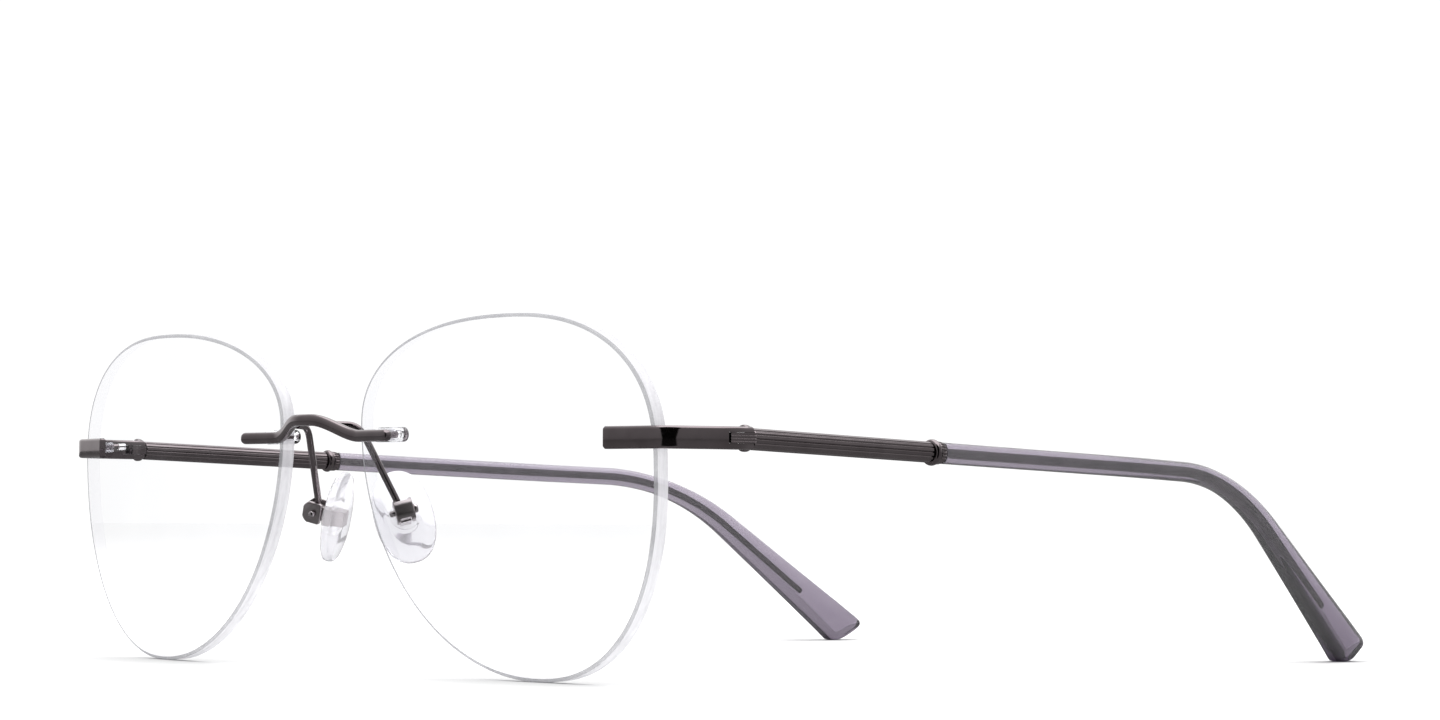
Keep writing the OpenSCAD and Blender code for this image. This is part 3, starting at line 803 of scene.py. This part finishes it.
for side, sign in SIDES:
    box = build("pad_box_" + side + "_bracket", box_soup(), sign, (BRACKET,), 40)
    gap = Soup().prism(rectangle(-3, 1.15, -2.4, 2.4), -0.8, 0.8, 0.1, on_box, steps=2)
    bore = Soup().lathe([(0.44, -3), (0.44, 3)], on_box, 32)
    cut(box, [build("cutter", soup, sign, (GUNMETAL,)) for soup in (gap, bore)], 40)
    fit(box, "pad_box_" + side, "front")


# ------------------------------------------------------------------ screws
def add_screws(part, profile, place, n, slot_half, slot_low, slot_high):
    """Turned screws, one per side, with a skewed slot cut across the head."""
    for side, sign in SIDES:
        screw = build(part + "_" + side + "_turned", Soup().lathe(profile, place, n), sign,
                      (SCREW,), 40)
        slot = Soup().prism(rectangle(-slot_half, slot_half, -0.09, 0.09), slot_low, slot_high,
                            0.01, lambda x, y, h: place(x * 0.8 - y * 0.6, x * 0.6 + y * 0.8, h),
                            steps=1)
        cut(screw, [build("cutter", slot, sign, (SCREW,))], 40)
        fit(screw, part + "_" + side, "front")


# radius, height: domed stub end first, head last
PAD_SCREW = [
    (0.05, -1.99), (0.22, -1.96), (0.36, -1.88), (0.42, -1.76), (0.42, 1.27), (0.57, 1.29),
    (0.62, 1.35), (0.62, 1.62), (0.55, 1.76), (0.38, 1.86), (0.1, 1.9),
]
add_screws("pad_screw", PAD_SCREW, on_box, n=32, slot_half=1.2, slot_low=1.72, slot_high=2.6)

# ------------------------------------------------------------------ endpieces
SLOT_HALF = 0.665  # half height of the slot for the hinge tongue
RING_OVAL = 0.875  # width of the ring against its height
# radius, y
RING_PROFILE = [
    (1.2, 13.78), (1.4, 13.79), (1.53, 13.84), (1.61, 13.93), (1.64, 14.05), (1.64, 14.42),
    (1.61, 14.55), (1.53, 14.63), (1.4, 14.66), (1.2, 14.66),
]
# radius, z: bore with a wider seat for the screw head
PIVOT_HOLE = [(0.44, END_Z - 3), (0.44, END_Z + 1.07), (0.74, END_Z + 1.075), (0.74, END_Z + 3)]


def front_y(x):
    """y of the lens front at the height of the endpiece."""
    u = x - LENS_AT[0]
    return lens_point(u, END_V, sag(u, END_V))[1]


def end_plan():
    """Plan of the endpiece: an L from the lens front back to the hinge fork."""
    def point(x, y):
        return np.array([x, y], float)

    inner_x = LENS_AT[0] + HALF_W - 7.45
    fork_y, chamfer = 14.65, 0.12
    out_x, in_x = HUB_X + 1.4, HUB_X - 1.4
    # outer side: start, corner, hub
    start = point(inner_x, front_y(inner_x) - 1.05)
    corner = point(67.0, front_y(64.5) - 1.05 + 0.43)
    hub = point(out_x, 11.2)
    # inner side: start, corner, hub
    in_start = point(inner_x, front_y(inner_x) + 0.02)
    in_corner = point(65.35, front_y(64.8) + 0.35)
    in_hub = point(in_x, 10.4)
    back = point(0, 1.2)

    plan = line(start, corner, (0.0, 0.012, 0.2, 0.4, 0.6))
    plan += curve(corner + 2.4 * unit(start - corner), corner,
                  corner + 2.6 * unit(hub - corner), 16)
    plan += curve(hub + 1.2 * unit(corner - hub), hub, hub + back, 8)
    plan += [point(out_x, 13.4), point(out_x, fork_y - chamfer),
             point(HUB_X + 1.28, fork_y), point(HUB_X - 1.28, fork_y),
             point(in_x, fork_y - chamfer), point(in_x, 13.0)]
    plan += curve(in_hub + back, in_hub, in_hub + 1.2 * unit(in_corner - in_hub), 8)
    plan += curve(in_corner + 1.4 * unit(in_hub - in_corner), in_corner,
                  in_corner + 1.0 * unit(in_start - in_corner), 10)
    plan += line(in_corner, in_start, (0.4, 0.6, 0.8, 0.985, 1.0))
    return np.array(plan)


def tongue_slot(sign):
    plan = rectangle(HUB_X - 4, HUB_X + 4, PIVOT_Y - 2.15, PIVOT_Y + 6)
    soup = Soup().prism(plan, END_Z - SLOT_HALF, END_Z + SLOT_HALF, 0.03, level, steps=1)
    return build("cutter", soup, sign, (GUNMETAL,))


for side, sign in SIDES:
    name = "endpiece_" + side
    plate_soup = Soup().prism(end_plan(), END_LOW, END_Z + END_HALF, 0.42, level, steps=6)
    plate = build(name + "_plate", plate_soup, sign, (GUNMETAL,), 30)
    ring_soup = Soup().lathe(RING_PROFILE,
                             lambda x, y, h: (HUB_X + x * RING_OVAL, h, END_Z + y), 64)
    ring = build(name + "_ring", ring_soup, sign, (GUNMETAL,), 30)
    cut(ring, [tongue_slot(sign)], 30)
    cut(plate, [build("cutter", lens_block_soup(), sign, (GUNMETAL,)),
                tongue_slot(sign),
                build("cutter", Soup().lathe(PIVOT_HOLE, on_pivot), sign, (GUNMETAL,))], 30)
    pins = build(name + "_pins", pins_soup(END_PINS, END_V), sign, (GUNMETAL,), 40)
    for ob in (plate, pins, ring):
        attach(ob, "front")
    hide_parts(name)

# hinge screws: radius, height above the bottom of the endpiece
HINGE_SCREW = [
    (0.3, 0.06), (0.4, 0.12), (0.42, 0.2), (0.42, 2.46), (0.7, 2.48), (0.72, 2.55),
    (0.72, 2.64), (0.66, 2.72), (0.3, 2.75), (0.05, 2.75),
]
add_screws("hinge_screw", [(radius, END_LOW + height) for radius, height in HINGE_SCREW],
           on_pivot, n=40, slot_half=1, slot_low=END_LOW + 2.6, slot_high=END_LOW + 3.4)

# ------------------------------------------------------------------ temples
SLEEVE_S, SLEEVE_HALF_X, SLEEVE_HALF_Y = 2.1, 1.18, 1.34
FLUTES = 14
# distance from the sleeve's front end, least inset of the surface
SLEEVE_STATIONS = [
    (0.0, 0.15), (0.03, 0.045), (0.1, 0), (0.22, 0),
    *[(distance, 0) for distance in np.linspace(0.6, 30.6, 16)],
    (30.98, 0), (31.1, 0), (31.17, 0.045), (31.2, 0.15),
]


def sleeve_soup():
    """Oval sleeve with narrow lengthwise grooves."""
    n = FLUTES * 16
    place = on_temple(SLEEVE_S)
    rings = []
    for distance, least in SLEEVE_STATIONS:
        ring = []
        for angle in np.arange(n) * 2 * pi / n:
            phase = (angle / (2 * pi) * FLUTES + 0.5) % 1.0 - 0.5
            degrees = phase * 360 / FLUTES
            groove = 0.11 * exp(-((degrees / 3.3) ** 2)) + 0.02 * (abs(degrees) / 12.86) ** 2
            inset = max(groove, least)
            ring.append(place((SLEEVE_HALF_X - inset) * cos(angle),
                              (SLEEVE_HALF_Y - inset) * sin(angle), distance))
        rings.append(ring)
    return Soup().loft(rings)


COLLAR_S, COLLAR_TEETH = 33.32, 20
# radius, distance from the collar's front end, share of the tooth depth
COLLAR_PROFILE = [
    (0.5, 0.0, 0), (1.2, 0.0, 0), (1.34, 0.02, 0), (1.5, 0.09, 0), (1.61, 0.22, 0),
    (1.67, 0.4, 0), (1.68, 0.53, 0), (1.65, 0.68, 0), (1.56, 0.83, 0), (1.42, 0.94, 0),
    (1.37, 0.99, 0), (1.39, 1.03, 0.0), (1.45, 1.08, 0.1), (1.48, 1.14, 0.45),
    (1.48, 1.24, 1.0), (1.47, 1.5, 1.0), (1.45, 1.76, 1.0), (1.4, 1.9, 0.8),
    (1.33, 1.99, 0.4), (1.24, 2.04, 0.1), (0.5, 2.05, 0),
]


def rear_collar_soup():
    """Round bead followed by a toothed ring."""
    n = 120
    place = on_temple(COLLAR_S)
    rings = []
    for radius, distance, tooth in COLLAR_PROFILE:
        ring = []
        for j in range(n):
            angle = 2 * pi * (j + 0.5) / n
            phase = (angle / (2 * pi) * COLLAR_TEETH) % 1.0
            r = radius - 0.17 * tooth * (0.5 - 0.5 * cos(2 * pi * phase)) ** 1.5
            ring.append(place(r * cos(angle), r * sin(angle), distance))
        rings.append(ring)
    return Soup().loft(rings)


CORE_START, CORE_END = 26.2, 126.0


def core_soup():
    stations = [CORE_START, *np.arange(30, 80, 5.0), *np.arange(80, CORE_END, 1.0), CORE_END]
    return Soup().loft(tube([temple_point(s) for s in stations], WIRE_R))


TIP_CAP = 2.0  # length of the rounded end
CAP_S = TEMPLE_LEN - TIP_CAP
TIP_H = (2.72, 6.1)  # full height of the slim and the swollen part
TIP_HALF_W = (1.2, 1.75)
TIP_STATIONS = [
    35.45, 35.5, 35.62, *np.arange(37, 80, 3.0), *np.arange(80, CAP_S - 0.3, 1.0), CAP_S,
    *[CAP_S + TIP_CAP * sin(a) for a in np.linspace(0, pi / 2, 12)[1:]],
]


def tip_soup():
    """Acetate tip: slim at first, swelling to a tall flat end that is cut obliquely."""
    rings = []
    for s in TIP_STATIONS:
        centre, along, out, up = temple_frame(s)
        swell = max(0.0, (s - 93.5) / (TEMPLE_LEN - 94)) ** 1.2
        half_h = (TIP_H[0] + (TIP_H[1] - TIP_H[0]) * swell) / 2
        half_w = TIP_HALF_W[0] + (TIP_HALF_W[1] - TIP_HALF_W[0]) * swell
        cap = max(0.0, min(0.9995, (s - CAP_S) / TIP_CAP))
        scale_h = (1 - cap ** 3) ** (1 / 3)
        scale_w = (1 - cap ** 5) ** (1 / 5)
        if s < 35.6:  # softened front edge
            scale_h = scale_w = 0.93 if s < 35.48 else 0.985
        lift = 0.25 * half_h * (1 - scale_h) if s > CAP_S else 0
        oblique = 0.4 * clamp((s - CAP_S + 3) / 4)
        ring = []
        for x, y in superellipse(half_w * max(scale_w, 0.12), half_h * max(scale_h, 0.06),
                                 64, 2.5 + 2 * swell):
            y += lift
            ring.append(centre + out * x + up * y + along * oblique * y)
        rings.append(ring)
    return Soup().loft(rings)


# CAD node, ending of the object's name, shape, material, colour slot, sharp angle
TEMPLE_PARTS = (
    ("sleeve", "fluted", sleeve_soup, GUNMETAL, "gunmetal", 40),
    ("rear_collar", "ferrule", rear_collar_soup, GUNMETAL, "gunmetal", 40),
    ("core_wire", "rod", core_soup, CORE, "core", 50),
    ("temple_tip", "acetate", tip_soup, TIP, "tip", 50),
)
for side, sign in SIDES:
    for part, ending, shape, mat, color_slot, sharp in TEMPLE_PARTS:
        node = part + "_" + side
        fit(build(node + "_" + ending, shape(), sign, (mat,), sharp), node,
            "temple_" + side)

# ------------------------------------------------------------------ kept CAD pieces
for side, _ in SIDES:
    for part, mat in (("hinge_tongue_", GUNMETAL), ("pad_insert_", BRACKET)):
        ob = frame["nodes"][part + side]
        ob.data.materials.clear()
        ob.data.materials.append(mat)
        bevel = ob.modifiers.new("soft_edges", "BEVEL")
        bevel.width, bevel.segments = 0.00005, 2
        bevel.limit_method, bevel.angle_limit = "ANGLE", radians(40)


# ------------------------------------------------------------------ stage, in metres
def floor_material():
    """White floor, its colour darkened near the pieces by ambient occlusion as painted shadow, and
    painted dark to reflections.
    """
    mat, tree = new_material("floor_white")
    # painted shadow: ambient occlusion darkens the floor's colour under and beside the pieces that
    # rest on it
    occlusion = add_node(tree, "AmbientOcclusion", {"Distance": 0.03}, samples=16)
    tone = ramp(tree, noise(tree, scale=30.0, detail=2.0, rough=0.5),
                (0.3, grey(0.95)), (0.7, grey(0.965)))
    painted_contact_shadow = ramp(tree, occlusion.outputs["AO"], (0.0, grey(0.2)), (0.6, grey(0.6)),
                   (0.9, grey(0.83)), (0.985, grey(1)))
    # the floor's tone multiplied by the painted shadow
    white = add_node(tree, "Mix", {"Factor": 1.0, "A": tone, "B": painted_contact_shadow},
                     data_type="RGBA", blend_type="MULTIPLY")
    # painted reflection: glossy rays that are not transmitted see the floor painted in a dark
    # tone, darkest along the view, so the metal reflects dark where the floor is white
    rays = add_node(tree, "LightPath")
    reflected = calc(tree, "SUBTRACT", rays.outputs["Is Glossy Ray"],
                     rays.outputs["Is Transmission Ray"], use_clamp=True)
    incoming = add_node(tree, "NewGeometry").outputs["Incoming"]
    along_view = add_node(tree, "VectorMath", {0: incoming, 1: (VIEW_X, VIEW_Y, 0.25)},
                          operation="DOT_PRODUCT").outputs["Value"]
    dark = ramp(tree, map_range(tree, along_view, to=(0.0, 1.0), over=(0.90, 0.925)),
                (0.0, grey(0.17)), (1.0, grey(0.01)))
    color = add_node(tree, "Mix", {"Factor": reflected, "A": white.outputs["Result"],
                                   "B": dark}, data_type="RGBA")
    shader = add_node(tree, "BsdfPrincipled", {
        "Base Color": color.outputs["Result"],
        "Roughness": 0.9,
        "Specular IOR Level": 0.0})
    add_node(tree, "OutputMaterial", {"Surface": shader.outputs[0]})
    return mat


def add_floor():
    mesh = bpy.data.meshes.new("floor")
    half = 6.0
    corners = [(-half, -half, 0), (half, -half, 0), (half, half, 0), (-half, half, 0)]
    mesh.from_pydata(corners, [], [[0, 1, 2, 3]])
    mesh.materials.append(floor_material())
    link(bpy.data.objects.new("floor", mesh))


def add_key_light():
    """Large soft light overhead, aimed at the origin."""
    light = bpy.data.lights.new("key_soft", "AREA")
    light.shape, light.size, light.size_y = "RECTANGLE", 1.4, 1.4
    light.energy = 11.5
    ob = bpy.data.objects.new("key_soft", light)
    ob.location = (0.1, 0.1, 1.1)
    ob.rotation_mode = "QUATERNION"
    ob.rotation_quaternion = (-Vector(ob.location)).to_track_quat("-Z", "Y")
    link(ob)


def add_camera():
    """Low camera in front of the left lens, looking slightly up."""
    data = bpy.data.cameras.new("camera")
    data.sensor_fit, data.sensor_width = "HORIZONTAL", 36.0
    data.lens = 92.3
    data.clip_start, data.clip_end = 0.01, 50.0
    ob = bpy.data.objects.new("camera", data)
    heading = Vector((VIEW_X, VIEW_Y, 0)).normalized()
    level_right = Vector((VIEW_Y, -VIEW_X, 0)).normalized()
    vertical = Vector((0, 0, 1))
    pitch, roll = radians(2.42), radians(0.298)
    view = heading * cos(pitch) + vertical * sin(pitch)
    level_up = vertical * cos(pitch) - heading * sin(pitch)
    right = level_right * cos(roll) + level_up * sin(roll)
    up = level_up * cos(roll) - level_right * sin(roll)
    matrix = Matrix((right, up, -view)).transposed().to_4x4()
    matrix.translation = Vector((0.4019, (-274.5 - MID_Y) * 0.001, 0.0205))
    ob.matrix_world = matrix
    link(ob)
    bpy.context.scene.camera = ob


def add_world():
    """White to the camera, a grey studio in reflections."""
    world = bpy.data.worlds.new("studio")
    bpy.context.scene.world = world
    world.use_nodes = True
    tree = world.node_tree
    tree.nodes.clear()
    direction = add_node(tree, "TexCoord").outputs["Generated"]
    rays = add_node(tree, "LightPath")
    height = add_node(tree, "SeparateXYZ", {0: direction}).outputs["Z"]

    def toward(x, y, z):
        return add_node(tree, "VectorMath", {0: direction, 1: Vector((x, y, z)).normalized()},
                        operation="DOT_PRODUCT").outputs["Value"]

    def step(source, over, to):
        return map_range(tree, source, to, over, interpolation_type="SMOOTHSTEP")

    def both(operation, a, b):
        return calc(tree, operation, a, b)

    # reflections: bright overhead, grey walls, bright behind the piece, dark at the camera
    overhead = step(height, over=(0.55, 0.95), to=(0.0, 0.6))
    behind = step(toward(VIEW_X, VIEW_Y, 0.1), over=(0.3, 0.85), to=(0.0, 0.75))
    walls = step(toward(-0.65, -0.76, 0.1), over=(-0.2, 0.9), to=(0.40, 0.46))
    walls = both("MULTIPLY", walls, step(height, over=(-0.4, 0.7), to=(0.5, 1.4)))
    room = both("ADD", walls, both("ADD", overhead, behind))
    camera_lobe = both("ADD", toward(-VIEW_X, -VIEW_Y, 0.0), both("MULTIPLY", height, 0.5))
    studio = both("MULTIPLY", room, step(camera_lobe, over=(0.90, 0.925), to=(1.0, 0.015)))

    # through clear pieces: white behind them, a little darker elsewhere
    white = 1.08
    through = step(toward(VIEW_X, VIEW_Y, 0.0), over=(-0.2, 0.6), to=(0.85, white))

    transmitted = rays.outputs["Is Transmission Ray"]
    mirrored = both("MAXIMUM", rays.outputs["Is Glossy Ray"], rays.outputs["Is Singular Ray"])
    mirrored = both("MULTIPLY", mirrored, both("SUBTRACT", 1.0, transmitted))
    others = both("SUBTRACT", 1.0, both("ADD", mirrored, transmitted))
    others = both("MAXIMUM", others, 0.0)
    strength = both("ADD", both("MULTIPLY", studio, mirrored),
                    both("MULTIPLY", through, transmitted))
    strength = both("ADD", strength, both("MULTIPLY", white, others))
    strength = both("MAXIMUM", strength,
                    both("MULTIPLY", rays.outputs["Is Camera Ray"], white))
    background = add_node(tree, "Background", {"Color": (1, 1, 1, 1), "Strength": strength})
    add_node(tree, "OutputWorld", {0: background.outputs[0]})


add_floor()
add_key_light()
add_camera()
add_world()
bpy.context.scene.view_settings.view_transform = "Standard"
